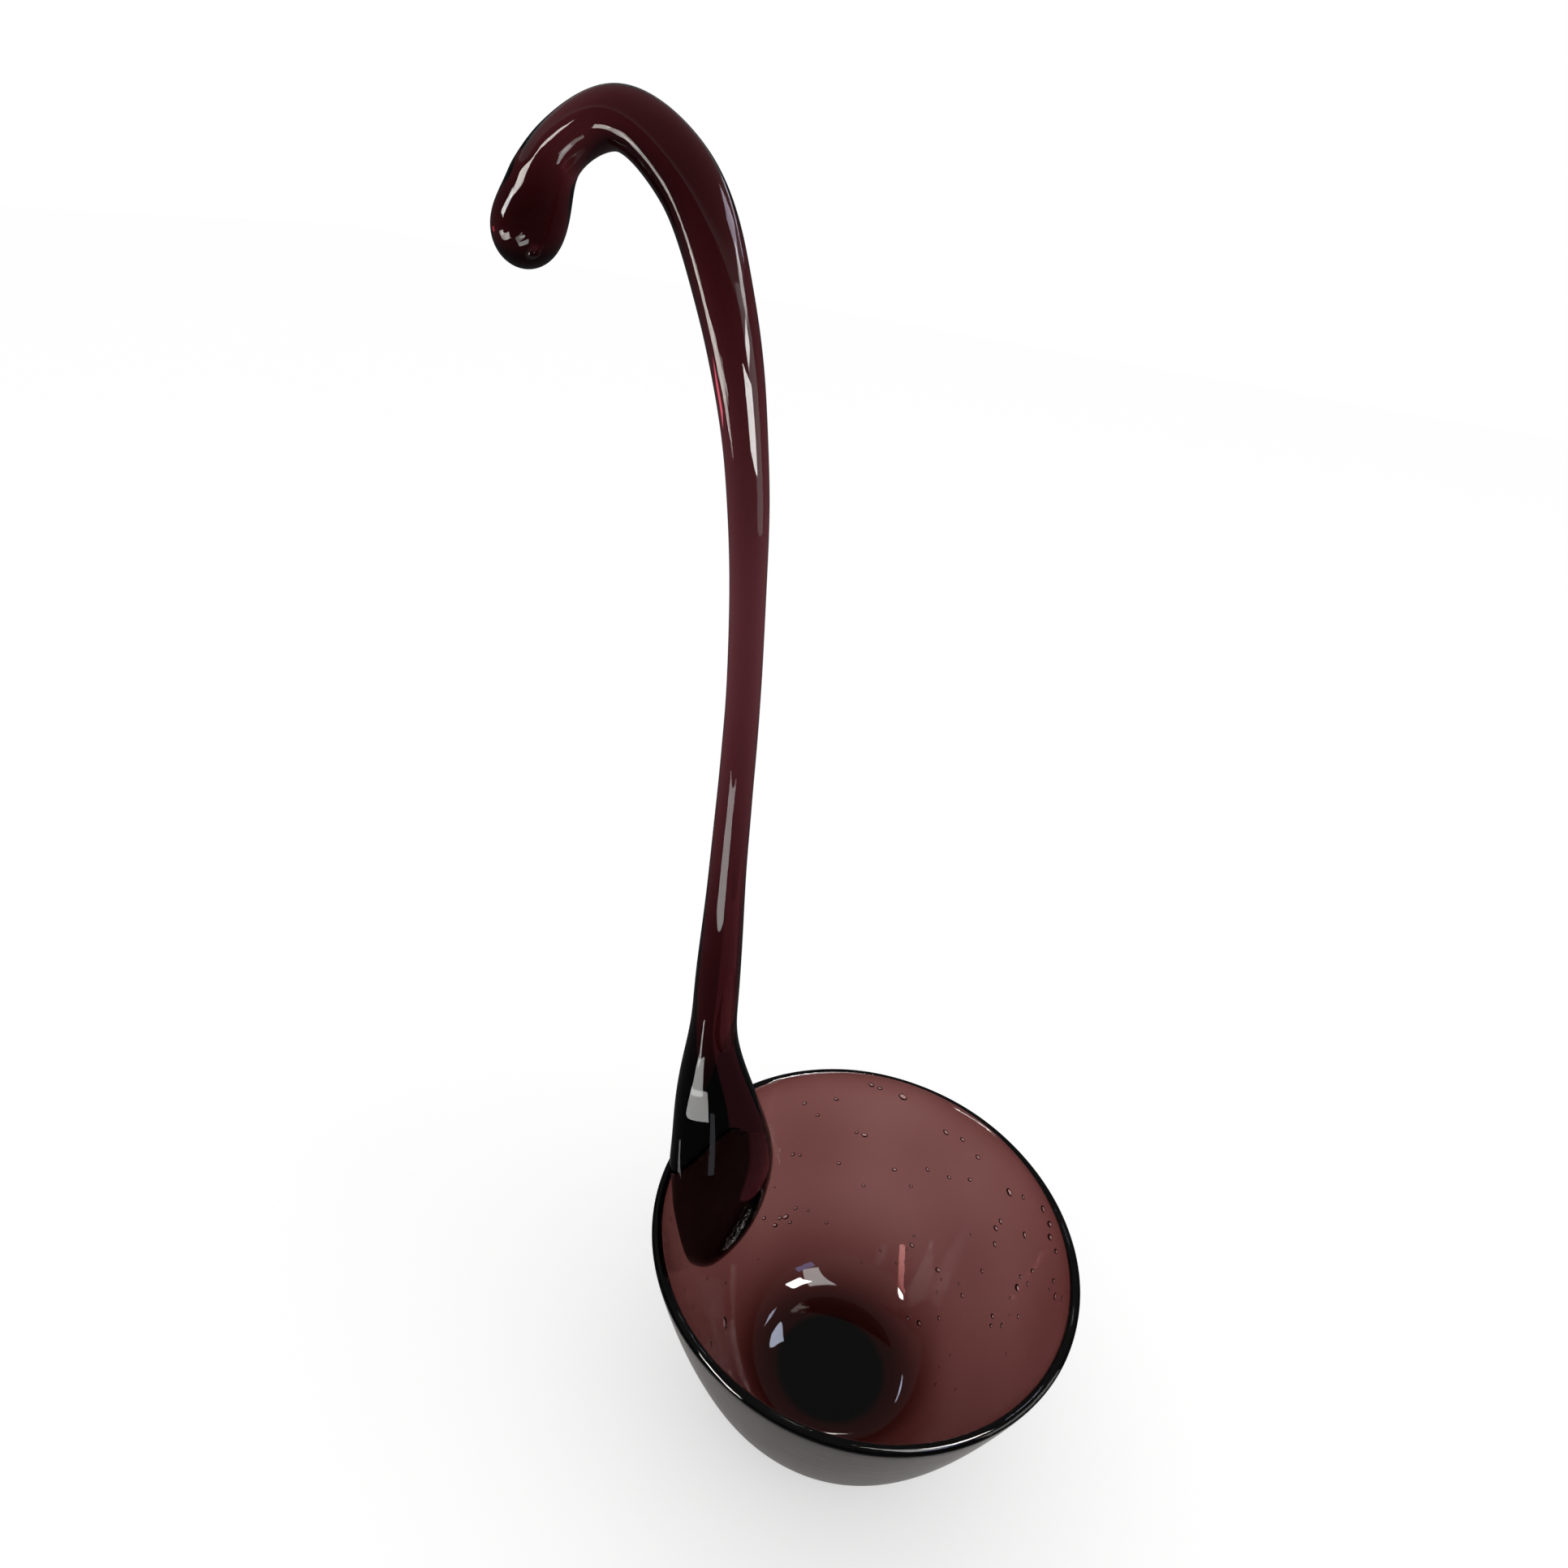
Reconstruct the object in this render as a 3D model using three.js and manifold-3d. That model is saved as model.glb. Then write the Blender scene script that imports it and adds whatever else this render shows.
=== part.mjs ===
// Glass ladle in two pieces of glass: a blown bowl, and a solid drawn handle laid over its rim.
// Millimetres, +Z up. The origin is the centre of the bowl's flat base, and the handle stands at -X.

import * as THREE from 'three';
import { mergeVertices } from 'three/addons/utils/BufferGeometryUtils.js';
import Module from 'manifold-3d';

// Bowl
const rimRadius = 50;
const bowlHeight = 59;
const footRadius = 15.5; // the flat that the bowl stands on
const cornerRadius = 35.2; // where the floor's and the wall's lines would meet
const wallThickness = 2;
const floorThickness = 7;
const beadDiameter = 2.4; // the lip, melted round and a little thicker than the wall

// Drop at the handle's root, which runs down the inside of the wall
const dropDepth = 33; // from the rim's middle down to its tip
const dropTipInset = 15.5; // from the rim's outer edge in to the tip
const dropReach = 25; // from the rim's outer edge in to the drop's belly
const dropWidth = 24;
const dropWidest = 20; // below the rim
const dropSwell = 5; // above the rim, where it reaches furthest in
const rimLap = 0.4; // how far the glass laps out over the rim
const lapDepth = 1.5; // how far that lap comes down past the rim's middle
const seat = 1; // how far the drop's widest line stays inside the wall
const rootBulge = 1.2; // how far the root swells outward above the rim
const tipCurve = 2.4; // 1 is a straight belly down to the tip, more is rounder

// Handle above the drop: height above the rim's middle, reach outward from the rim's outer edge, thickness
const neck = { rise: 47, reach: -5.4, diameter: 10.2 };
const lowerStem = { rise: 86, reach: -4.4, diameter: 7.8 };
const waist = { rise: 130, reach: -3, diameter: 6.6 };
const upperStem = { rise: 166, reach: 0.9, diameter: 7.6 };
const hookStart = { rise: 190, reach: 7.5, diameter: 9.6 };
const hookBack = { rise: 206, reach: 15.9, diameter: 10.4 };
const crown = { rise: 212.9, reach: 28, diameter: 9 };
const hookFront = { rise: 207.5, reach: 39.2, diameter: 8.9 };
const knob = { rise: 196.2, reach: 44.9, diameter: 13 };
const knobEnd = 7; // from the knob's widest ring on to its round end

// Fit and fineness
const clearance = 0.3; // between the two pieces of glass
const mergeDistance = 1e-4;
const halvings = 40; // of a search for a height on the wall
const latheSegments = 60;
const curveSteps = 11;
const beadSteps = 8;
const ringSides = 20;
const dropRings = 20;
const dropPacking = 1.3; // more than 1 packs the rings towards the tip
const stemRings = 60;
const endRings = 6;

const wasm = await Module();
wasm.setup();

// One closed body from triangles, as manifold-3d takes it
function toSolid(geometry) {
  const bare = geometry.clone();
  bare.deleteAttribute('normal');
  bare.deleteAttribute('uv');
  const merged = mergeVertices(bare, mergeDistance);
  return new wasm.Manifold(new wasm.Mesh({
    numProp: 3,
    vertProperties: new Float32Array(merged.attributes.position.array),
    triVerts: new Uint32Array(merged.index.array),
  }));
}

function toGeometry(solid) {
  const mesh = solid.getMesh();
  const geometry = new THREE.BufferGeometry();
  geometry.setAttribute('position', new THREE.BufferAttribute(new Float32Array(mesh.vertProperties), 3));
  geometry.setIndex(new THREE.BufferAttribute(new Uint32Array(mesh.triVerts), 1));
  geometry.computeVertexNormals();
  return geometry;
}

// Bowl profiles, as points of radius and height
const beadRadius = beadDiameter / 2;
const beadHeight = bowlHeight - beadRadius;
const outerCurve = new THREE.QuadraticBezierCurve(
  new THREE.Vector2(footRadius, 0),
  new THREE.Vector2(cornerRadius, 0),
  new THREE.Vector2(rimRadius, beadHeight),
);

// The wall thickens from the rim down to the floor.
function innerPoint(t) {
  const outer = outerCurve.getPoint(t);
  const along = outerCurve.getTangent(t);
  const thickness = wallThickness + (floorThickness - wallThickness) * (1 - t) ** 2;
  return new THREE.Vector2(outer.x - along.y * thickness, outer.y + along.x * thickness);
}

// Radius of the wall's inner face at a height
function innerRadius(height) {
  let low = 0;
  let high = 1;
  for (let i = 0; i < halvings; i += 1) {
    const middle = (low + high) / 2;
    if (innerPoint(middle).y < height) {
      low = middle;
    } else {
      high = middle;
    }
  }
  return innerPoint((low + high) / 2).x;
}

function bowlProfile() {
  const points = [];
  for (let i = 0; i <= curveSteps; i += 1) {
    points.push(outerCurve.getPoint(i / curveSteps));
  }
  for (let i = 1; i <= beadSteps; i += 1) {
    const angle = (Math.PI * i) / beadSteps;
    const radius = rimRadius - beadRadius + beadRadius * Math.cos(angle);
    points.push(new THREE.Vector2(radius, beadHeight + beadRadius * Math.sin(angle)));
  }
  for (let i = curveSteps; i >= 0; i -= 1) {
    const point = innerPoint(i / curveSteps);
    if (point.y < bowlHeight - beadDiameter) {
      points.push(point);
    }
  }
  return points;
}

// A profile moved out of the glass by a distance, and closed on the axis above and below the floor
function closedProfile(points, distance) {
  const moved = points.map((point, i) => {
    const before = points[Math.max(i - 1, 0)];
    const after = points[Math.min(i + 1, points.length - 1)];
    const along = after.clone().sub(before).normalize();
    const isFirst = i === 0;
    const isLast = i === points.length - 1;
    const out = isFirst ? new THREE.Vector2(0, -1) : new THREE.Vector2(along.y, -along.x);
    const normal = isLast ? new THREE.Vector2(0, 1) : out;
    return point.clone().add(normal.multiplyScalar(distance));
  });
  const under = new THREE.Vector2(0, moved[0].y);
  const over = new THREE.Vector2(0, moved[moved.length - 1].y);
  return [under, ...moved, over];
}

function bowlGeometry(distance) {
  const geometry = new THREE.LatheGeometry(closedProfile(bowlProfile(), distance), latheSegments);
  geometry.rotateX(Math.PI / 2);
  return geometry;
}

// A level ring of the drop at a height above the rim: its middle, and its reach to each side
function dropRing(rise) {
  const height = beadHeight + rise;
  const stemLine = rimRadius + neck.reach;
  const wallLine = innerRadius(height) - seat;
  const middle = rise < 0 ? Math.min(wallLine, stemLine) : stemLine;

  const neckSwell = (1 + Math.cos((Math.PI * (rise - dropSwell)) / (neck.rise - dropSwell))) / 2;
  const neckInset = neck.diameter / 2 - neck.reach;
  const tipFall = Math.max(0, (dropSwell - rise) / (dropSwell + dropDepth)) ** tipCurve;
  const inset = rise > dropSwell
    ? neckInset + (dropReach - neckInset) * neckSwell
    : dropReach - (dropReach - dropTipInset) * tipFall;

  const taper = (1 + Math.cos((Math.PI * (rise + dropWidest)) / (neck.rise + dropWidest))) / 2;
  const round = Math.sqrt(Math.max(0, 1 - ((rise + dropWidest) / (dropDepth - dropWidest)) ** 2));
  const halfWidth = rise > -dropWidest
    ? (neck.diameter + (dropWidth - neck.diameter) * taper) / 2
    : (dropWidth * round) / 2;

  // Outside, the glass stands proud over the rim and runs out into the stem.
  const lapFade = THREE.MathUtils.smoothstep(rise, -lapDepth, 0);
  const stemFade = THREE.MathUtils.smoothstep(rise, dropSwell, neck.rise);
  const stemEdge = rimRadius + neck.reach + neck.diameter / 2;
  const bulge = rise > 0 ? rootBulge * Math.sin((Math.PI * rise) / neck.rise) ** 2 : 0;
  const lapEdge = THREE.MathUtils.lerp(rimRadius + rimLap, stemEdge, stemFade) + bulge;
  const wallMiddle = wallLine + seat + wallThickness / 2;
  const outerEdge = THREE.MathUtils.lerp(wallMiddle, lapEdge, lapFade);

  return {
    centre: new THREE.Vector3(-middle, 0, height),
    inward: Math.max(middle - (rimRadius - inset), 0),
    outward: outerEdge - middle,
    halfWidth,
    across: new THREE.Vector3(1, 0, 0),
  };
}

// Girth between the stations, which neither grows nor shrinks at the neck and at the knob
function girthAt(girths, t) {
  const count = girths.length - 1;
  const index = Math.min(Math.floor(t * count), count - 1);
  const s = t * count - index;
  const slope = (k) => (k === 0 || k === count ? 0 : (girths[k + 1] - girths[k - 1]) / 2);
  const from = girths[index];
  const to = girths[index + 1];
  const cubic = 2 * from - 2 * to + slope(index) + slope(index + 1);
  const square = 3 * to - 3 * from - 2 * slope(index) - slope(index + 1);
  return ((cubic * s + square) * s + slope(index)) * s + from;
}

// Rings of the stem, the hook and the knob, square to their middle line
function stemRingList() {
  const stations = [neck, lowerStem, waist, upperStem, hookStart, hookBack, crown, hookFront, knob];
  const places = stations.map((s) => new THREE.Vector3(-(rimRadius + s.reach), 0, beadHeight + s.rise));
  const girths = stations.map((s) => s.diameter / 2);
  const middleLine = new THREE.CatmullRomCurve3(places);
  const rings = [];
  for (let i = 1; i <= stemRings; i += 1) {
    const t = middleLine.getUtoTmapping(i / stemRings);
    const tangent = middleLine.getTangent(t);
    const half = girthAt(girths, t);
    rings.push({
      centre: middleLine.getPoint(t),
      inward: half,
      outward: half,
      halfWidth: half,
      across: new THREE.Vector3(tangent.z, 0, -tangent.x),
    });
  }
  // The knob closes as half of an egg.
  const last = rings[rings.length - 1];
  const onward = middleLine.getTangent(1);
  const ball = knob.diameter / 2;
  for (let i = 1; i < endRings; i += 1) {
    const angle = (Math.PI / 2) * (i / endRings);
    const half = ball * Math.cos(angle);
    rings.push({
      centre: last.centre.clone().addScaledVector(onward, knobEnd * Math.sin(angle)),
      inward: half,
      outward: half,
      halfWidth: half,
      across: last.across,
    });
  }
  return { rings, end: last.centre.clone().addScaledVector(onward, knobEnd) };
}

// A closed skin over rings, from a point at the first to a point at the last
function loftGeometry(start, rings, end) {
  const positions = [start.x, start.y, start.z];
  rings.forEach((ring) => {
    for (let k = 0; k < ringSides; k += 1) {
      const angle = (2 * Math.PI * k) / ringSides;
      const reach = Math.cos(angle) > 0 ? ring.inward : ring.outward;
      const point = ring.centre.clone().addScaledVector(ring.across, reach * Math.cos(angle));
      positions.push(point.x, ring.halfWidth * Math.sin(angle), point.z);
    }
  });
  positions.push(end.x, end.y, end.z);
  const index = [];
  const endVertex = rings.length * ringSides + 1;
  for (let k = 0; k < ringSides; k += 1) {
    const next = (k + 1) % ringSides;
    index.push(0, 1 + next, 1 + k);
    for (let i = 0; i < rings.length - 1; i += 1) {
      const low = 1 + i * ringSides;
      const high = low + ringSides;
      index.push(low + k, low + next, high + next);
      index.push(low + k, high + next, high + k);
    }
    const top = endVertex - ringSides;
    index.push(top + k, top + next, endVertex);
  }
  const geometry = new THREE.BufferGeometry();
  geometry.setAttribute('position', new THREE.Float32BufferAttribute(positions, 3));
  geometry.setIndex(index);
  return geometry;
}

// The handle, with a seat cut into it that fits over the rim and down the wall
function handleGeometry() {
  const rings = [];
  for (let i = 1; i <= dropRings; i += 1) {
    const share = (i / dropRings) ** dropPacking;
    rings.push(dropRing(-dropDepth + (neck.rise + dropDepth) * share));
  }
  const upper = stemRingList();
  const tip = new THREE.Vector3(-(rimRadius - dropTipInset), 0, beadHeight - dropDepth);
  const solid = toSolid(loftGeometry(tip, [...rings, ...upper.rings], upper.end));
  const seatCut = toSolid(bowlGeometry(clearance));
  return toGeometry(solid.subtract(seatCut));
}

function glass(colour) {
  return new THREE.MeshStandardMaterial({ color: colour, roughness: 0.06, metalness: 0, transparent: true });
}

const bowl = new THREE.Mesh(bowlGeometry(0), glass(0x6e4448));
bowl.name = 'bowl';
bowl.material.opacity = 0.55;

const handle = new THREE.Mesh(handleGeometry(), glass(0x3c1018));
handle.name = 'handle';
handle.material.opacity = 0.9;

const ladle = new THREE.Group();
ladle.add(bowl, handle);

export default ladle;
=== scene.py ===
import math
import random

import bmesh
import bpy
from mathutils import Matrix, Vector, noise


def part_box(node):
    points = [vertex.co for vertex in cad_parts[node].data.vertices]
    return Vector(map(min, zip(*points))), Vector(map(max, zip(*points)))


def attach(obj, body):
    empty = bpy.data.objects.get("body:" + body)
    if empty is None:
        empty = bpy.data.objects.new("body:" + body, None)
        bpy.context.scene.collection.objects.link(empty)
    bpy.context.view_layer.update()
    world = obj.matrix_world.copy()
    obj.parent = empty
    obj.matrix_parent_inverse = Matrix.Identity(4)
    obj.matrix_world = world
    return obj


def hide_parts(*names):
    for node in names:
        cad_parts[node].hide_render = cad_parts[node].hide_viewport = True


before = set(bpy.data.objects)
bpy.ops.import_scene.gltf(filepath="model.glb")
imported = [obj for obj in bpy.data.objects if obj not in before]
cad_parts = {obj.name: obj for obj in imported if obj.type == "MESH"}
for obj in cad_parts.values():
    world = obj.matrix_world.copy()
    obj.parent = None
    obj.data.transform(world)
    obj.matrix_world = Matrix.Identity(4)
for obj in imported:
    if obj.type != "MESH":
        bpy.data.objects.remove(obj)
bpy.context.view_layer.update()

mm = 0.001
axisZ = Vector((0, 0, 1))
print("frame loaded")


# Helpers

def finishMesh(bm, name, material, subdivision):
    mesh = bpy.data.meshes.new(name)
    for face in bm.faces:
        face.smooth = True
    bm.to_mesh(mesh)
    bm.free()
    mesh.materials.append(material)
    piece = bpy.data.objects.new(name, mesh)
    bpy.context.scene.collection.objects.link(piece)
    soften = piece.modifiers.new("soften", "SUBSURF")
    soften.levels = subdivision
    soften.render_levels = subdivision
    return piece


def startTree(data, outputKind):
    data.use_nodes = True
    tree = data.node_tree
    tree.nodes.clear()
    return tree, addNode(tree, outputKind)


def addNode(tree, kind, **values):
    node = tree.nodes.new(kind)
    for key, value in values.items():
        if key in node.inputs:
            node.inputs[key].default_value = value
        else:
            setattr(node, key, value)
    return node


def smoothStep(value, low, high):
    share = min(max((value - low) / (high - low), 0), 1)
    return share * share * (3 - 2 * share)


def mix(a, b, share):
    return a + (b - a) * share


# Glass: clear all through, coloured by how far the light goes in it, and the handle's base colour
# carries painted shade by height

glass = {
    "waveDetail": 2.0,
    "smearDetail": 4.0,
    "smearFrom": 0.45,            # noise below this leaves the glass polished
    "smearTo": 0.75,
}


def addPaintedShade(tree, place, shader, look):
    # painted shade: the base colour darker by height along the stem, standing in for a darker
    # surround seen through the glass
    parts = addNode(tree, "ShaderNodeSeparateXYZ")
    tree.links.new(place.outputs["Object"], parts.inputs[0])
    rise = addNode(tree, "ShaderNodeMapRange")
    rise.inputs["From Max"].default_value = look["paintedShadeTop"]
    tree.links.new(parts.outputs["Z"], rise.inputs["Value"])
    paintedShade = addNode(tree, "ShaderNodeValToRGB")
    for height, colour in look["paintedShade"]:
        if height == 0:
            stop = paintedShade.color_ramp.elements[0]
        else:
            stop = paintedShade.color_ramp.elements.new(height / look["paintedShadeTop"])
        stop.color = (*colour, 1)
    paintedShade.color_ramp.elements.remove(paintedShade.color_ramp.elements[-1])
    tree.links.new(rise.outputs["Result"], paintedShade.inputs["Fac"])
    tree.links.new(paintedShade.outputs["Color"], shader.inputs["Base Color"])


def glassMaterial(name, look):
    material = bpy.data.materials.new(name)
    tree, output = startTree(material, "ShaderNodeOutputMaterial")
    shader = addNode(tree, "ShaderNodeBsdfPrincipled")
    shader.inputs["Base Color"].default_value = (1, 1, 1, 1)
    shader.inputs["Transmission Weight"].default_value = 1.0
    shader.inputs["IOR"].default_value = look["ior"]
    shader.inputs["Specular Tint"].default_value = (look["shine"], look["shine"], look["shine"], 1)
    depth = addNode(tree, "ShaderNodeVolumeAbsorption")
    depth.inputs["Color"].default_value = (*look["colour"], 1)
    depth.inputs["Density"].default_value = look["density"]
    place = addNode(tree, "ShaderNodeTexCoord")
    if "paintedShade" in look:
        addPaintedShade(tree, place, shader, look)
    stretch = addNode(tree, "ShaderNodeMapping")
    stretch.inputs["Scale"].default_value = look["streaks"]
    waves = addNode(tree, "ShaderNodeTexNoise", Scale=look["waveScale"], Detail=glass["waveDetail"])
    tree.links.new(place.outputs["Object"], stretch.inputs["Vector"])
    tree.links.new(stretch.outputs["Vector"], waves.inputs["Vector"])
    bump = addNode(tree, "ShaderNodeBump", Strength=1.0, Distance=look["waveHeight"])
    tree.links.new(waves.outputs["Fac"], bump.inputs["Height"])
    tree.links.new(bump.outputs["Normal"], shader.inputs["Normal"])
    smear = addNode(tree, "ShaderNodeTexNoise", Scale=look["smearScale"],
                    Detail=glass["smearDetail"])
    tree.links.new(place.outputs["Object"], smear.inputs["Vector"])
    gloss = addNode(tree, "ShaderNodeMapRange")
    gloss.inputs["From Min"].default_value = glass["smearFrom"]
    gloss.inputs["From Max"].default_value = glass["smearTo"]
    gloss.inputs["To Min"].default_value = look["polished"]
    gloss.inputs["To Max"].default_value = look["smeared"]
    tree.links.new(smear.outputs["Fac"], gloss.inputs["Value"])
    tree.links.new(gloss.outputs["Result"], shader.inputs["Roughness"])
    tree.links.new(shader.outputs["BSDF"], output.inputs["Surface"])
    tree.links.new(depth.outputs["Volume"], output.inputs["Volume"])
    return material


# Bowl

bowl = {
    "footRadius": 15.5 * mm,      # the flat that it stands on
    "cornerRadius": 35.2 * mm,    # where the lines of floor and wall would meet
    "wall": 2 * mm,
    "floor": 4.6 * mm,
    "thickening": 6,              # more keeps the wall thin further down
    "bead": 2.4 * mm,             # lip melted round, a little thicker than the wall
    "turns": 96,
    "curveSteps": 26,
    "beadSteps": 8,
    "subdivision": 1,
    "footLoop": 0.9,              # extra loops near the foot's edge and half way in on the floor
    "floorLoop": 0.5,
    "tangentStep": 0.001,
    "halvings": 30,               # to find a height on the inner face
    "merge": 0.01 * mm,
    "wobble": 0.12 * mm,          # how far the blown wall strays from a true turning
    "wobbleSize": 22 * mm,
    "wobbleFrom": 2 * mm,         # none of it at the foot
    "wobbleFull": 12 * mm,
}
bowlLook = {
    "ior": 1.5,
    "shine": 1.0,
    "colour": (0.45, 0.14, 0.12),
    "density": 1400,
    "streaks": (1, 1, 6),
    "waveScale": 70,
    "waveHeight": 0.03 * mm,
    "smearScale": 60,
    "polished": 0.0,
    "smeared": 0.012,
}
# Bubbles in the wall: angle round the bowl from +X in degrees, height and length in mm
bubbles = {
    "seen": [
        (118, 50.4, 1.5), (107, 55.8, 1.8), (104, 55.2, 1.6), (96, 54.5, 2.6), (106, 40.7, 2.0),
        (109, 41.2, 1.3), (124, 45.7, 1.3), (130, 34.5, 1.3), (114, 31.7, 1.4), (140, 18.8, 1.5),
        (143, 17.6, 1.8), (137, 18.6, 2.1), (135, 17.0, 1.4), (126, 19.2, 1.1), (132, 20.2, 1.4),
        (148, 20.5, 1.5), (79, 50.1, 1.8), (73, 51.0, 1.6), (66, 49.5, 1.6), (72, 39.5, 1.4),
        (65, 42.8, 1.4), (92, 33.6, 1.6), (48, 41.3, 1.6), (51, 48.9, 2.3), (46, 51.6, 1.4),
        (38, 55.2, 1.9), (33, 55.0, 2.1), (30, 53.4, 2.1), (25, 53.8, 1.6), (38, 45.7, 1.8),
        (45, 35.8, 1.6), (48, 38.9, 1.8), (27, 36.9, 2.3), (29, 39.2, 1.3), (25, 40.9, 1.3),
        (27, 43.7, 1.5), (18, 50.6, 1.6), (13, 50.7, 1.8), (10, 53.7, 1.3), (58, 18.0, 1.9),
        (42, 19.7, 1.4), (26, 26.2, 1.6), (20, 28.8, 1.3), (23, 25.2, 1.3), (18, 35.3, 1.3),
        (-165, 10.9, 3.0), (-148, 16.3, 1.9), (180, 14.8, 1.0), (-171, 21.7, 1.0), (47, 7.7, 1.8),
        (74, 18.0, 1.6), (75, 20.2, 1.0), (54, 6.6, 1.3), (77, 12.3, 1.0), (87, 12.9, 1.0),
        (10, 8.4, 1.0), (4, 13.6, 1.0),
    ],
    "more": 44,                   # smaller ones scattered on all sides
    "moreLength": (0.7, 1.5),
    "moreHeight": (9, 55),
    "grow": 1.35,                 # longer than what shows of it
    "narrow": 0.7,                # width as a share of the length
    "flat": 0.7,                  # and thickness
    "mostOfWall": 0.36,           # but no thicker than this share of the wall
    "lean": 0.5,                  # either way from upright
    "depth": (0.42, 0.58),        # from the outer face, as a share of the wall
    "subdivision": 1,
    "seed": 7,
}
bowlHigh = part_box("bowl")[1]
rimRadius = bowlHigh.x
beadRadius = bowl["bead"] / 2
beadHeight = bowlHigh.z - beadRadius


def outerPoint(t):
    a = Vector((bowl["footRadius"], 0, 0))
    b = Vector((bowl["cornerRadius"], 0, 0))
    c = Vector((rimRadius, 0, beadHeight))
    return a * (1 - t) ** 2 + b * (2 * t * (1 - t)) + c * t ** 2


def innerPoint(t):
    step = bowl["tangentStep"]
    along = (outerPoint(t + step) - outerPoint(t - step)).normalized()
    fade = (1 - t) ** bowl["thickening"] * (1 + bowl["thickening"] * t)
    thickness = bowl["wall"] + (bowl["floor"] - bowl["wall"]) * fade
    return outerPoint(t) + Vector((-along.z, 0, along.x)) * thickness


def bowlProfile():
    steps = bowl["curveSteps"]
    points = [Vector((0, 0, 0)), Vector((bowl["footRadius"] * bowl["footLoop"], 0, 0))]
    points += [outerPoint(i / steps) for i in range(steps + 1)]
    for i in range(1, bowl["beadSteps"] + 1):
        angle = math.pi * i / bowl["beadSteps"]
        radius = rimRadius - beadRadius + beadRadius * math.cos(angle)
        points.append(Vector((radius, 0, beadHeight + beadRadius * math.sin(angle))))
    inner = [innerPoint(i / steps) for i in range(steps, -1, -1)]
    points += [p for p in inner if p.z < bowlHigh.z - bowl["bead"]]
    floorEdge = inner[-1]
    points.append(Vector((floorEdge.x * bowl["floorLoop"], 0, floorEdge.z)))
    points.append(Vector((0, 0, floorEdge.z)))
    return points


def wallShare(height):
    # how far along the profile the inner face is at a height
    low, high = 0.0, 1.0
    for halving in range(bowl["halvings"]):
        middle = (low + high) / 2
        if innerPoint(middle).z < height:
            low = middle
        else:
            high = middle
    return (low + high) / 2


def addBubbles(bm):
    # closed hollows inside the wall, so their faces look into them
    chance = random.Random(bubbles["seed"])
    spots = list(bubbles["seen"])
    for number in range(bubbles["more"]):
        spots.append((chance.uniform(0, 360), chance.uniform(*bubbles["moreHeight"]),
                      chance.uniform(*bubbles["moreLength"])))
    for angle, height, length in spots:
        share = wallShare(height * mm)
        outer, inner = outerPoint(share), innerPoint(share)
        through = (inner - outer).normalized()
        upward = Vector((0, 1, 0)).cross(through)
        half = length / 2 * mm * bubbles["grow"]
        thick = min(half * bubbles["flat"], (inner - outer).length * bubbles["mostOfWall"])
        made = bmesh.ops.create_icosphere(bm, subdivisions=bubbles["subdivision"], radius=1)
        verts = made["verts"]
        bmesh.ops.scale(bm, vec=(half * bubbles["narrow"], half, thick), verts=verts)
        lean = Matrix.Rotation(chance.uniform(-bubbles["lean"], bubbles["lean"]), 4, "Z")
        turn = Matrix((upward, Vector((0, 1, 0)), through)).transposed().to_4x4()
        depth = chance.uniform(*bubbles["depth"])
        place = Matrix.Translation(outer + (inner - outer) * depth) @ turn @ lean
        around = Matrix.Rotation(math.radians(angle), 4, "Z")
        bmesh.ops.transform(bm, matrix=around @ place, verts=verts)
        hollow = list({face for vert in verts for face in vert.link_faces})
        bmesh.ops.recalc_face_normals(bm, faces=hollow)
        bmesh.ops.reverse_faces(bm, faces=hollow)


def buildBowl(material):
    bm = bmesh.new()
    line = [bm.verts.new(point) for point in bowlProfile()]
    for a, b in zip(line, line[1:]):
        bm.edges.new((a, b))
    bmesh.ops.spin(bm, geom=bm.verts[:] + bm.edges[:], axis=axisZ, cent=(0, 0, 0),
                   steps=bowl["turns"], angle=2 * math.pi, use_merge=True)
    bmesh.ops.remove_doubles(bm, verts=bm.verts[:], dist=bowl["merge"])
    bmesh.ops.recalc_face_normals(bm, faces=bm.faces[:])
    bm.normal_update()
    for vert in bm.verts:
        stray = noise.noise(vert.co / bowl["wobbleSize"]) * bowl["wobble"]
        rising = smoothStep(vert.co.z, bowl["wobbleFrom"], bowl["wobbleFull"])
        vert.co += vert.normal * stray * rising
    addBubbles(bm)
    return finishMesh(bm, "bowlGlass", material, bowl["subdivision"])


# Handle: stations of its middle line in mm, as reach outward from the rim, rise above the
# middle of the lip, and thickness

handle = {
    "stations": [
        (-5.4, 47, 10.2),
        (-4.4, 86, 7.8),
        (-3, 130, 6.6),
        (0.9, 166, 7.6),
        (7.5, 190, 9.6),
        (15.9, 206, 10.4),
        (28, 212.9, 9),
        (39.2, 207.5, 8.9),
        (44.9, 196.2, 13),
    ],
    "knobEnd": 7 * mm,            # from the knob's widest ring on to its round end
    "smoothFrom": -86 * mm,       # the knob's rings are evened out from here on
    "smoothUnder": 262 * mm,
    "smoothTimes": 6,
    "smoothShare": 0.5,
    "tangentStep": 0.002,
    "tiny": 1e-9,                 # least step between two stations
    "sides": 28,
    "subdivision": 2,
    "stemRings": 72,
    "dropRings": 26,
    "dropPacking": 1.3,           # more puts the rings closer to the tip
    "ballRings": 7,               # round end of the knob
    "wobble": 0.1 * mm,
    "wobbleSize": 14 * mm,
}
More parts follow.
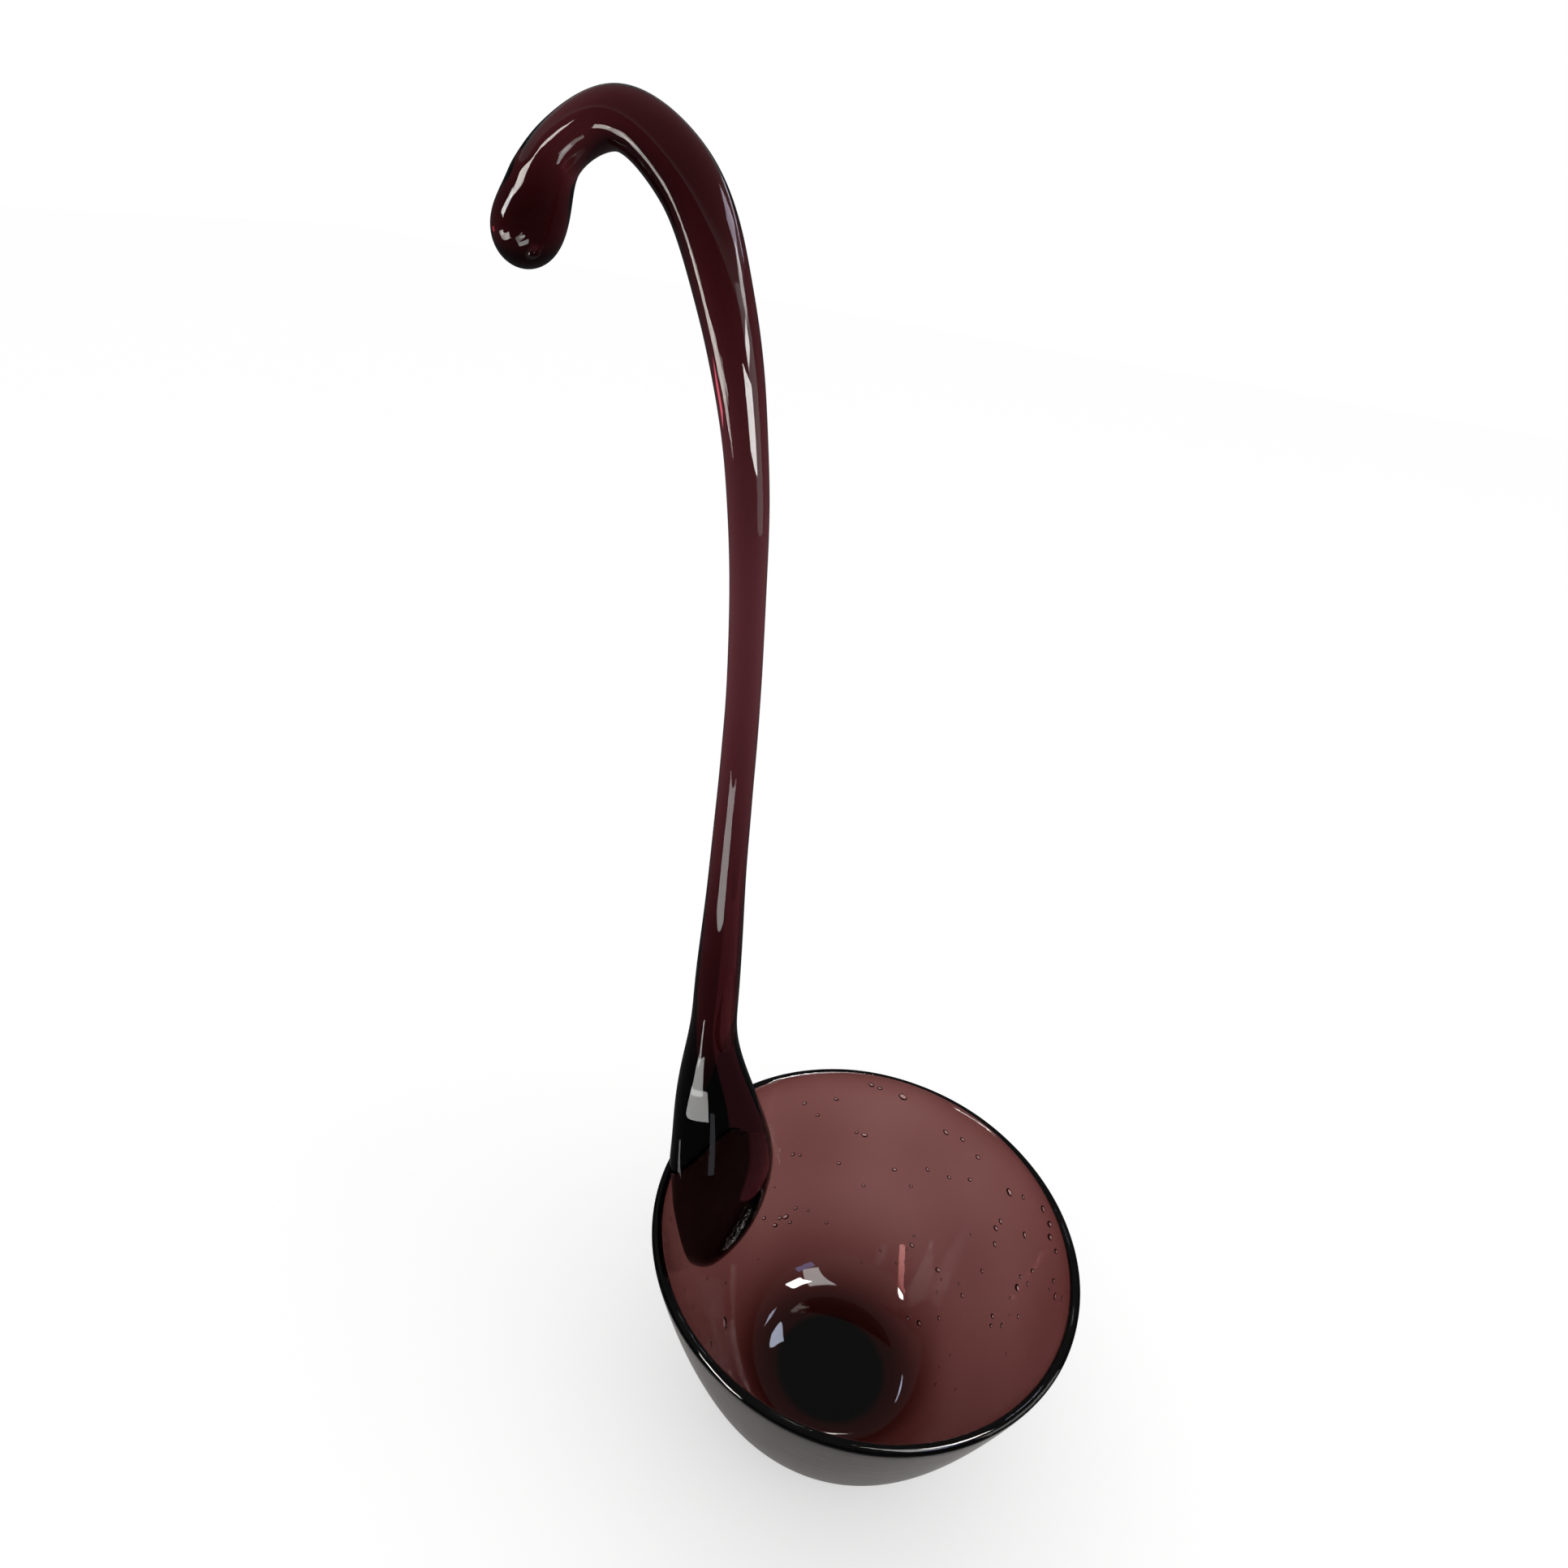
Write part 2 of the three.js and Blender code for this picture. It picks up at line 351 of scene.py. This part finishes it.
# Drop of glass at its foot, which laps over the rim
drop = {
    "depth": 33 * mm,             # of the tip below the middle of the lip
    "tipInset": 15.5 * mm,        # of the tip from the rim
    "reach": 25 * mm,             # how far it swells inward
    "width": 24 * mm,
    "widest": 20 * mm,            # below the middle of the lip
    "swell": 5 * mm,              # above it, where the reach is greatest
    "bulge": 1.2 * mm,            # of the outer side above the rim
    "lap": 0.4 * mm,              # proud of the rim
    "lapDepth": 1.5 * mm,
    "seat": 1 * mm,               # how deep it has sunk into the wall
    "tipCurve": 2.4,
}
handleLook = {
    "ior": 1.5,
    "shine": 0.65,
    # painted shade: the stem's base colour darkened by height, not a colour of the glass
    "paintedShade": [                    # height in metres, and colour
        (0, (1, 1, 1)),
        (0.09, (1, 1, 1)),
        (0.13, (0.76, 0.74, 0.74)),
        (0.225, (0.78, 0.76, 0.76)),
        (0.25, (0.95, 0.95, 0.95)),
        (0.27, (1, 1, 1)),
    ],
    "paintedShadeTop": 0.28,
    "colour": (0.4, 0.05, 0.1),
    "density": 600,
    "streaks": (1, 1, 0.15),
    "waveScale": 120,
    "waveHeight": 0.004 * mm,
    "smearScale": 80,
    "polished": 0.0,
    "smeared": 0.006,
}


def stationPoint(places, share):
    # Catmull-Rom with steps by the root of the distance
    count = len(places) - 1
    index = min(int(share * count), count - 1)
    t = share * count - index
    p1, p2 = places[index], places[index + 1]
    p0 = places[index - 1] if index > 0 else p1 * 2 - p2
    p3 = places[index + 2] if index + 2 <= count else p2 * 2 - p1
    pairs = ((p0, p1), (p1, p2), (p2, p3))
    d0, d1, d2 = (math.sqrt(max((b - a).length, handle["tiny"])) for a, b in pairs)
    m1 = ((p1 - p0) / d0 - (p2 - p0) / (d0 + d1) + (p2 - p1) / d1) * d1
    m2 = ((p2 - p1) / d1 - (p3 - p1) / (d1 + d2) + (p3 - p2) / d2) * d1
    a = p1 * 2 - p2 * 2 + m1 + m2
    b = p1 * -3 + p2 * 3 - m1 * 2 - m2
    return a * t ** 3 + b * t ** 2 + m1 * t + p1


def girthAt(girths, share):
    # level at the neck and at the knob
    count = len(girths) - 1
    index = min(int(share * count), count - 1)
    t = share * count - index
    slopes = [0] + [(girths[i + 1] - girths[i - 1]) / 2 for i in range(1, count)] + [0]
    a, b, m, n = girths[index], girths[index + 1], slopes[index], slopes[index + 1]
    return (2 * a - 2 * b + m + n) * t ** 3 + (3 * b - 3 * a - 2 * m - n) * t ** 2 + m * t + a


def dropRing(rise):
    reach, neckRise, neckWidth = (value * mm for value in handle["stations"][0])
    height = beadHeight + rise
    stemLine = rimRadius + reach
    wallLine = innerPoint(wallShare(height)).x - drop["seat"]
    middle = min(wallLine, stemLine) if rise < 0 else stemLine
    above = rise - drop["swell"]
    neckSwell = (1 + math.cos(math.pi * above / (neckRise - drop["swell"]))) / 2
    neckInset = neckWidth / 2 - reach
    tipFall = max(0, -above / (drop["swell"] + drop["depth"])) ** drop["tipCurve"]
    if above > 0:
        inset = mix(neckInset, drop["reach"], neckSwell)
    else:
        inset = mix(drop["reach"], drop["tipInset"], tipFall)
    below = rise + drop["widest"]
    if below > 0:
        taper = (1 + math.cos(math.pi * below / (neckRise + drop["widest"]))) / 2
        halfWidth = mix(neckWidth, drop["width"], taper) / 2
    else:
        toTip = below / (drop["depth"] - drop["widest"])
        halfWidth = drop["width"] / 2 * math.sqrt(max(0, 1 - toTip ** 2))
    lapFade = smoothStep(rise, -drop["lapDepth"], 0)
    stemFade = smoothStep(rise, drop["swell"], neckRise)
    bulge = drop["bulge"] * math.sin(math.pi * max(rise, 0) / neckRise) ** 2
    lapEdge = mix(rimRadius + drop["lap"], rimRadius + reach + neckWidth / 2, stemFade) + bulge
    wallMiddle = wallLine + drop["seat"] + bowl["wall"] / 2
    outerEdge = mix(wallMiddle, lapEdge, lapFade)
    return {
        "centre": Vector((-middle, 0, height)),
        "inward": max(middle - (rimRadius - inset), 0),
        "outward": outerEdge - middle,
        "halfWidth": halfWidth,
        "along": axisZ,
    }


def handleRings():
    rings = []
    neckRise = handle["stations"][0][1] * mm
    for i in range(1, handle["dropRings"] + 1):
        share = (i / handle["dropRings"]) ** handle["dropPacking"]
        rings.append(dropRing(mix(-drop["depth"], neckRise, share)))
    places = [Vector((-rimRadius - reach * mm, 0, beadHeight + rise * mm))
              for reach, rise, thickness in handle["stations"]]
    girths = [thickness / 2 * mm for reach, rise, thickness in handle["stations"]]
    step = handle["tangentStep"]
    for i in range(1, handle["stemRings"] + 1):
        share = i / handle["stemRings"]
        point = stationPoint(places, share)
        onward = stationPoint(places, min(share + step, 1)) - stationPoint(places, share - step)
        half = girthAt(girths, share)
        rings.append({
            "centre": point,
            "inward": half,
            "outward": half,
            "halfWidth": half,
            "along": onward.normalized(),
        })
    last = rings[-1]
    ball = last["halfWidth"]
    for i in range(1, handle["ballRings"]):
        angle = math.pi / 2 * i / handle["ballRings"]
        half = ball * math.cos(angle)
        centre = last["centre"] + last["along"] * handle["knobEnd"] * math.sin(angle)
        rings.append({**last, "centre": centre, "inward": half, "outward": half, "halfWidth": half})
    return rings, last["centre"] + last["along"] * handle["knobEnd"]


def addRing(bm, ring):
    made = bmesh.ops.create_circle(bm, segments=handle["sides"], radius=1, cap_ends=False)
    verts = made["verts"]
    inner = [v for v in verts if v.co.x > 0]
    outer = [v for v in verts if v.co.x <= 0]
    bmesh.ops.scale(bm, vec=(ring["inward"], ring["halfWidth"], 1), verts=inner)
    bmesh.ops.scale(bm, vec=(ring["outward"], ring["halfWidth"], 1), verts=outer)
    across = Vector((0, 1, 0)).cross(ring["along"])
    turn = Matrix((across, Vector((0, 1, 0)), ring["along"])).transposed().to_4x4()
    bmesh.ops.transform(bm, matrix=Matrix.Translation(ring["centre"]) @ turn, verts=verts)
    return list({edge for v in verts for edge in v.link_edges})


def buildHandle(material):
    bm = bmesh.new()
    rings, end = handleRings()
    tip = Vector((-(rimRadius - drop["tipInset"]), 0, beadHeight - drop["depth"]))
    loops = [addRing(bm, ring) for ring in rings]
    firstVerts = {v for edge in loops[0] for v in edge.verts}
    lastVerts = {v for edge in loops[-1] for v in edge.verts}
    for low, high in zip(loops, loops[1:]):
        bmesh.ops.bridge_loops(bm, edges=low + high)
    for verts, point in ((firstVerts, tip), (lastVerts, end)):
        edges = list({e for v in verts for e in v.link_edges if e.is_boundary})
        cap = bmesh.ops.extrude_edge_only(bm, edges=edges)
        capVerts = [g for g in cap["geom"] if isinstance(g, bmesh.types.BMVert)]
        bmesh.ops.pointmerge(bm, verts=capVerts, merge_co=point)
    knob = [v for v in bm.verts if v.co.x < handle["smoothFrom"] and v.co.z < handle["smoothUnder"]]
    for again in range(handle["smoothTimes"]):
        bmesh.ops.smooth_vert(bm, verts=knob, factor=handle["smoothShare"],
                              use_axis_x=True, use_axis_y=True, use_axis_z=True)
    bmesh.ops.recalc_face_normals(bm, faces=bm.faces[:])
    bm.normal_update()
    for vert in bm.verts:
        stray = noise.noise(vert.co / handle["wobbleSize"]) * handle["wobble"]
        vert.co += vert.normal * stray
    return finishMesh(bm, "handleGlass", material, handle["subdivision"])


bowlPiece = buildBowl(glassMaterial("amethystBowl", bowlLook))
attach(bowlPiece, "root")
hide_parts("bowl")
print("bowl made")

handlePiece = buildHandle(glassMaterial("amethystHandle", handleLook))
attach(handlePiece, "root")
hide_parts("handle")
print("handle made")


# Stage

stage = {
    "floorSize": 6,
    "floorDrop": 0.02 * mm,
    "floorColour": (0.66, 0.66, 0.66),
    "floorLift": 0.46,            # what the white of the floor adds near the ladle
    "farLift": 0.45,
    # painted shadow under the foot: the floor's white glow fades out inside this ring
    "footShadowFrom": 13.2 * mm,        # none of it under the foot
    "footShadowTo": 15.2 * mm,
    "farStart": 0.3,              # metres from the ladle
    "farEnd": 1.2,
    "roomLow": 0.35,              # room light at the horizon and overhead
    "roomHigh": 1.05,
    "skyLow": 0.1,                # what glass shows of the room: pale up to here, dark from skyHigh
    "skyHigh": 0.5,
    "skyPale": 1.0,
    "skyDark": 0.12,
    # painted reflection: a sheet that only glossy rays see, dark all round and paler round the
    # foot, in place of the shade of a room seen in the glass
    "paintedReflectionDark": (0.06, 0.06, 0.065),
    "paintedReflectionPale": (0.55, 0.54, 0.53),
    "paleFrom": 0.06,             # pale round the foot
    "paleTo": 0.1,
    "cardNear": 0.02,             # dark sheet all round, which only reflections show
    "cardFar": 1.7,
    "cardLow": 0.5 * mm,
    "cardHigh": 0.9,
    "cardSteps": 48,
}


def whiteRays(tree, path):
    # one for camera, glossy and transmission rays
    first = addNode(tree, "ShaderNodeMath", operation="MAXIMUM")
    second = addNode(tree, "ShaderNodeMath", operation="MAXIMUM")
    tree.links.new(path.outputs["Is Camera Ray"], first.inputs[0])
    tree.links.new(path.outputs["Is Glossy Ray"], first.inputs[1])
    tree.links.new(first.outputs[0], second.inputs[0])
    tree.links.new(path.outputs["Is Transmission Ray"], second.inputs[1])
    return second.outputs[0]


def stageObject(bm, name, material):
    mesh = bpy.data.meshes.new(name)
    bm.to_mesh(mesh)
    bm.free()
    mesh.materials.append(material)
    made = bpy.data.objects.new(name, mesh)
    bpy.context.scene.collection.objects.link(made)
    return made


def buildFloor():
    bm = bmesh.new()
    bmesh.ops.create_grid(bm, x_segments=1, y_segments=1, size=stage["floorSize"] / 2)
    material = bpy.data.materials.new("paleFloor")
    tree, output = startTree(material, "ShaderNodeOutputMaterial")
    paint = addNode(tree, "ShaderNodeBsdfDiffuse")
    paint.inputs["Color"].default_value = (*stage["floorColour"], 1)
    glow = addNode(tree, "ShaderNodeEmission", Color=(1, 1, 1, 1))
    shown = whiteRays(tree, addNode(tree, "ShaderNodeLightPath"))
    place = addNode(tree, "ShaderNodeTexCoord")
    reach = addNode(tree, "ShaderNodeVectorMath", operation="LENGTH")
    tree.links.new(place.outputs["Object"], reach.inputs[0])
    far = addNode(tree, "ShaderNodeMapRange", interpolation_type="SMOOTHSTEP")
    far.inputs["From Min"].default_value = stage["farStart"]
    far.inputs["From Max"].default_value = stage["farEnd"]
    far.inputs["To Min"].default_value = stage["floorLift"]
    far.inputs["To Max"].default_value = stage["farLift"]
    tree.links.new(reach.outputs["Value"], far.inputs["Value"])
    # painted shadow: no glow on the floor under the foot, so it stays dark there
    near = addNode(tree, "ShaderNodeMapRange", interpolation_type="SMOOTHSTEP")
    near.inputs["From Min"].default_value = stage["footShadowFrom"]
    near.inputs["From Max"].default_value = stage["footShadowTo"]
    tree.links.new(reach.outputs["Value"], near.inputs["Value"])
    spread = addNode(tree, "ShaderNodeMath", operation="MULTIPLY")
    tree.links.new(far.outputs["Result"], spread.inputs[0])
    tree.links.new(near.outputs["Result"], spread.inputs[1])
    lift = addNode(tree, "ShaderNodeMath", operation="MULTIPLY")
    tree.links.new(spread.outputs[0], lift.inputs[1])
    tree.links.new(shown, lift.inputs[0])
    tree.links.new(lift.outputs[0], glow.inputs["Strength"])
    both = addNode(tree, "ShaderNodeAddShader")
    tree.links.new(paint.outputs[0], both.inputs[0])
    tree.links.new(glow.outputs[0], both.inputs[1])
    tree.links.new(both.outputs[0], output.inputs["Surface"])
    floor = stageObject(bm, "floor", material)
    floor.location.z = -stage["floorDrop"]


# painted reflection: a dark sheet round the ladle, pale near the foot, that only reflections show
def buildPaintedReflectionSheet():
    bm = bmesh.new()
    near, far = stage["cardNear"], stage["cardFar"]
    low, high = stage["cardLow"], stage["cardHigh"]
    points = [(near, 0, low), (far, 0, low), (far, 0, high)]
    line = [bm.verts.new(point) for point in points]
    for a, b in zip(line, line[1:]):
        bm.edges.new((a, b))
    bmesh.ops.spin(bm, geom=bm.verts[:] + bm.edges[:], axis=axisZ, cent=(0, 0, 0),
                   steps=stage["cardSteps"], angle=2 * math.pi, use_merge=True)
    material = bpy.data.materials.new("paintedReflectionCard")
    tree, output = startTree(material, "ShaderNodeOutputMaterial")
    paint = addNode(tree, "ShaderNodeBsdfDiffuse")
    place = addNode(tree, "ShaderNodeTexCoord")
    reach = addNode(tree, "ShaderNodeVectorMath", operation="LENGTH")
    tree.links.new(place.outputs["Object"], reach.inputs[0])
    away = addNode(tree, "ShaderNodeMapRange")
    away.inputs["From Min"].default_value = stage["paleFrom"]
    away.inputs["From Max"].default_value = stage["paleTo"]
    tree.links.new(reach.outputs["Value"], away.inputs["Value"])
    # painted reflection: pale near the foot, dark further out
    tone = addNode(tree, "ShaderNodeValToRGB")
    tone.color_ramp.elements[0].color = (*stage["paintedReflectionPale"], 1)
    tone.color_ramp.elements[1].color = (*stage["paintedReflectionDark"], 1)
    tree.links.new(away.outputs["Result"], tone.inputs["Fac"])
    tree.links.new(tone.outputs["Color"], paint.inputs["Color"])
    tree.links.new(paint.outputs[0], output.inputs["Surface"])
    paintedReflectionSheet = stageObject(bm, "paintedReflectionSheet", material)
    paintedReflectionSheet.visible_camera = False
    paintedReflectionSheet.visible_diffuse = False
    paintedReflectionSheet.visible_transmission = False
    paintedReflectionSheet.visible_shadow = False


def buildWorld():
    world = bpy.data.worlds.new("studio")
    bpy.context.scene.world = world
    tree, output = startTree(world, "ShaderNodeOutputWorld")
    light = addNode(tree, "ShaderNodeBackground", Color=(1, 1, 1, 1))
    path = addNode(tree, "ShaderNodeLightPath")
    shown = whiteRays(tree, path)
    place = addNode(tree, "ShaderNodeTexCoord")
    parts = addNode(tree, "ShaderNodeSeparateXYZ")
    tree.links.new(place.outputs["Generated"], parts.inputs[0])
    sky = addNode(tree, "ShaderNodeMapRange")
    sky.inputs["From Min"].default_value = stage["skyLow"]
    sky.inputs["From Max"].default_value = stage["skyHigh"]
    sky.inputs["To Min"].default_value = stage["skyPale"]
    sky.inputs["To Max"].default_value = stage["skyDark"]
    tree.links.new(parts.outputs["Z"], sky.inputs["Value"])
    seen = addNode(tree, "ShaderNodeMath", operation="MAXIMUM")
    tree.links.new(sky.outputs["Result"], seen.inputs[0])
    tree.links.new(path.outputs["Is Camera Ray"], seen.inputs[1])
    room = addNode(tree, "ShaderNodeMapRange")
    room.inputs["To Min"].default_value = stage["roomLow"]
    room.inputs["To Max"].default_value = stage["roomHigh"]
    tree.links.new(parts.outputs["Z"], room.inputs["Value"])
    strength = addNode(tree, "ShaderNodeMix")
    tree.links.new(shown, strength.inputs["Factor"])
    tree.links.new(room.outputs["Result"], strength.inputs["A"])
    tree.links.new(seen.outputs[0], strength.inputs["B"])
    tree.links.new(strength.outputs["Result"], light.inputs["Strength"])
    tree.links.new(light.outputs[0], output.inputs["Surface"])


white = (1.0, 0.99, 0.97)
warm = (1.0, 0.94, 0.88)
blue = (0.72, 0.8, 1.0)
lilac = (0.88, 0.82, 1.0)
ruby = (1.0, 0.18, 0.25)
rose = (1.0, 0.7, 0.8)
frost = (0.85, 0.9, 1.0)
deepBlue = (0.35, 0.5, 1.0)
cream = (1.0, 0.97, 0.95)

# Each strip of light: the spot that it's aimed at in mm, azimuth and elevation of its two ends
# as seen from there, its distance and thickness in metres, brightness, colour. Only reflections
# on one piece show it, and one that stands close to the glass misses the rest of that piece.
handleLamps = {
    "stemWhiteLow": ((-50, -3, 234), (50, 3.5), (80, 3.5), 1.2, 0.2, 24, white),
    "stemWhite": ((-52, -3, 243), (74, 12), (94, 17), 1.2, 0.1, 20, white),
    "stemWhiteHigh": ((-54, -2, 251), (98, 20), (118, 25), 1.2, 0.12, 9, white),
    "hookLilac": ((-57, -1.5, 260), (108, 28), (140, 34), 1.2, 0.3, 5.5, lilac),
    "hookBlue": ((-57, -0.5, 260), (143, 18), (174, 25), 1.2, 0.05, 5, blue),
    "arcTop": ((-79, -4.1, 269), (-33, -30.5), (-49, -30.5), 0.15, 0.028, 11, warm),
    "arcBend": ((-75.5, -4.3, 268.4), (-49, -30), (-62, -24), 0.15, 0.03, 7, warm),
    "arcLow": ((-70, -4.7, 265.5), (-60.5, -23), (-60, -17), 0.15, 0.03, 2, warm),
    "arcSecond": ((-84, -3.8, 266.4), (5.8, -44.3), (-19.8, -48.8), 0.06, 0.012, 3.5, warm),
    "edgeLine": ((-60, -4.7, 250), (-66, -16.8), (-51, -16.8), 0.6, 0.075, 5.5, warm),
    "knobHigh": ((-92, -5.2, 261.2), (-23.9, 16.8), (-48.5, 11.9), 0.03, 0.005, 18, warm),
    "knobLow": ((-94.8, -5.9, 257.1), (-45.7, 20.5), (-56.9, 0.8), 0.03, 0.007, 17, white),
    "knobSpot": ((-92, -5, 252.5), (3, -35), (24, -35), 0.05, 0.0033, 8, white),
    "dropLow": ((-44.5, -5.9, 90), (-35.7, -43.2), (7.5, -40.6), 0.036, 0.006, 7, white),
    "dropMiddle": ((-44.5, -5.9, 90), (-30.9, -36.4), (-3.6, -35.2), 0.03, 0.006, 7, white),
    "dropThin": ((-44.5, -5.9, 90), (-27.7, -15.5), (-19.9, -31.7), 0.025, 0.003, 7, white),
    "dropRuby": ((-35, -3, 85), (25, -20), (125, -20), 0.1, 0.08, 0.4, ruby),
    "dropBlue": ((-37.3, -8.2, 68), (-6.2, 24.9), (7.5, -48), 0.013, 0.0022, 0.7, frost),
    "dropEdge": ((-44.8, -9.3, 62), (-66.3, 49.3), (-8.5, -46.5), 0.0069, 0.0012, 2.2, white),
    "stemLine": ((-44.8, -3.7, 148), (4, -24), (4, -38), 0.2, 0.13, 6.5, white),
}
bowlLamps = {
    "bowlOval": ((-16.3, 15, 5.7), (86, 54), (98, 68), 0.8, 0.15, 28, white),
    "bowlGrey": ((-14, 18.5, 6), (58, 48), (100, 79), 1.0, 0.2, 6, white),
    "bowlBlueRight": ((-15, 3, 4.6), (-162, 58), (-167, 57), 1.2, 0.05, 9, blue),
    "bowlBlueLeft": ((-19, 3.2, 4.8), (161, 58), (150, 60), 1.2, 0.07, 8, blue),
    "bowlSpot": ((-5, 16, 4.6), (-171.5, 54), (-173, 54.5), 1.2, 0.03, 20, white),
    "rimBlue": ((29, -40, 58.8), (54, 43), (74, 43), 1.2, 0.15, 3, deepBlue),
}
# Seen through glass too, so that the bowl's wall colours it
streak = ((11, 27, 12), (-23, 9), (-47, 40), 0.6, 0.045, 34, white)
# Seen only through the handle, where its glass turns ruby
glint = ((-56.5, 3.4, 236), (157, 5.5), (166, 5.5), 1.2, 0.12, 9, rose)
# The one that lights the room
wall = ((-45, 0, 150), (74, 8), (110, 8), 1.4, 0.9, 1.6, cream)


def wayTo(azimuth, elevation):
    turn, lift = math.radians(azimuth), math.radians(elevation)
    level = math.cos(lift)
    return Vector((math.sin(turn) * level, -math.cos(turn) * level, math.sin(lift)))


def addLamp(name, values, piece=None):
    aim, first, second, distance, thickness, brightness, colour = values
    aim = Vector(aim) * mm
    start, end = aim + wayTo(*first) * distance, aim + wayTo(*second) * distance
    middle = (start + end) / 2
    across = (end - start).normalized()
    away = (middle - aim).normalized()
    upward = away.cross(across).normalized()
    across = upward.cross(away)
    data = bpy.data.lights.new(name, "AREA")
    data.shape = "RECTANGLE"
    data.size = (end - start).length
    data.size_y = thickness
    data.energy = brightness * math.pi * data.size * data.size_y
    data.color = colour
    lamp = bpy.data.objects.new(name, data)
    bpy.context.scene.collection.objects.link(lamp)
    turn = Matrix((across, upward, away)).transposed().to_4x4()
    lamp.matrix_world = Matrix.Translation(middle) @ turn
    lamp.visible_camera = False
    if piece:
        shownOn = bpy.data.collections.new(name)
        shownOn.objects.link(piece)
        lamp.light_linking.receiver_collection = shownOn
    return lamp


def buildLamps():
    for strips, piece in ((handleLamps, handlePiece), (bowlLamps, bowlPiece)):
        for name, values in strips.items():
            lamp = addLamp(name, values, piece)
            lamp.visible_transmission = False
            lamp.visible_diffuse = False
    addLamp("bowlStreak", streak, bowlPiece).visible_diffuse = False
    through = addLamp("handleGlint", glint, handlePiece)
    through.visible_glossy = False
    through.visible_diffuse = False
    addLamp("wallRight", wall).visible_transmission = False


# Camera: where the photograph was taken from

view = {
    "place": (19.63, -159.872, 262.743),   # mm
    "forward": (-0.28645, 0.82125, -0.49345),
    "up": (-0.29765, 0.41326, 0.86059),
    "lens": 23.292,
    "sensor": 36,
    "clipStart": 0.01,
}


def buildCamera():
    data = bpy.data.cameras.new("camera")
    data.lens = view["lens"]
    data.sensor_width = view["sensor"]
    data.clip_start = view["clipStart"]
    camera = bpy.data.objects.new("camera", data)
    bpy.context.scene.collection.objects.link(camera)
    back = -Vector(view["forward"]).normalized()
    right = Vector(view["up"]).cross(back).normalized()
    turn = Matrix((right, back.cross(right), back)).transposed()
    camera.matrix_world = Matrix.Translation(Vector(view["place"]) * mm) @ turn.to_4x4()
    bpy.context.scene.camera = camera


buildFloor()
buildPaintedReflectionSheet()
buildWorld()
buildLamps()
buildCamera()
bpy.context.scene.view_settings.view_transform = "Standard"
print("stage made")
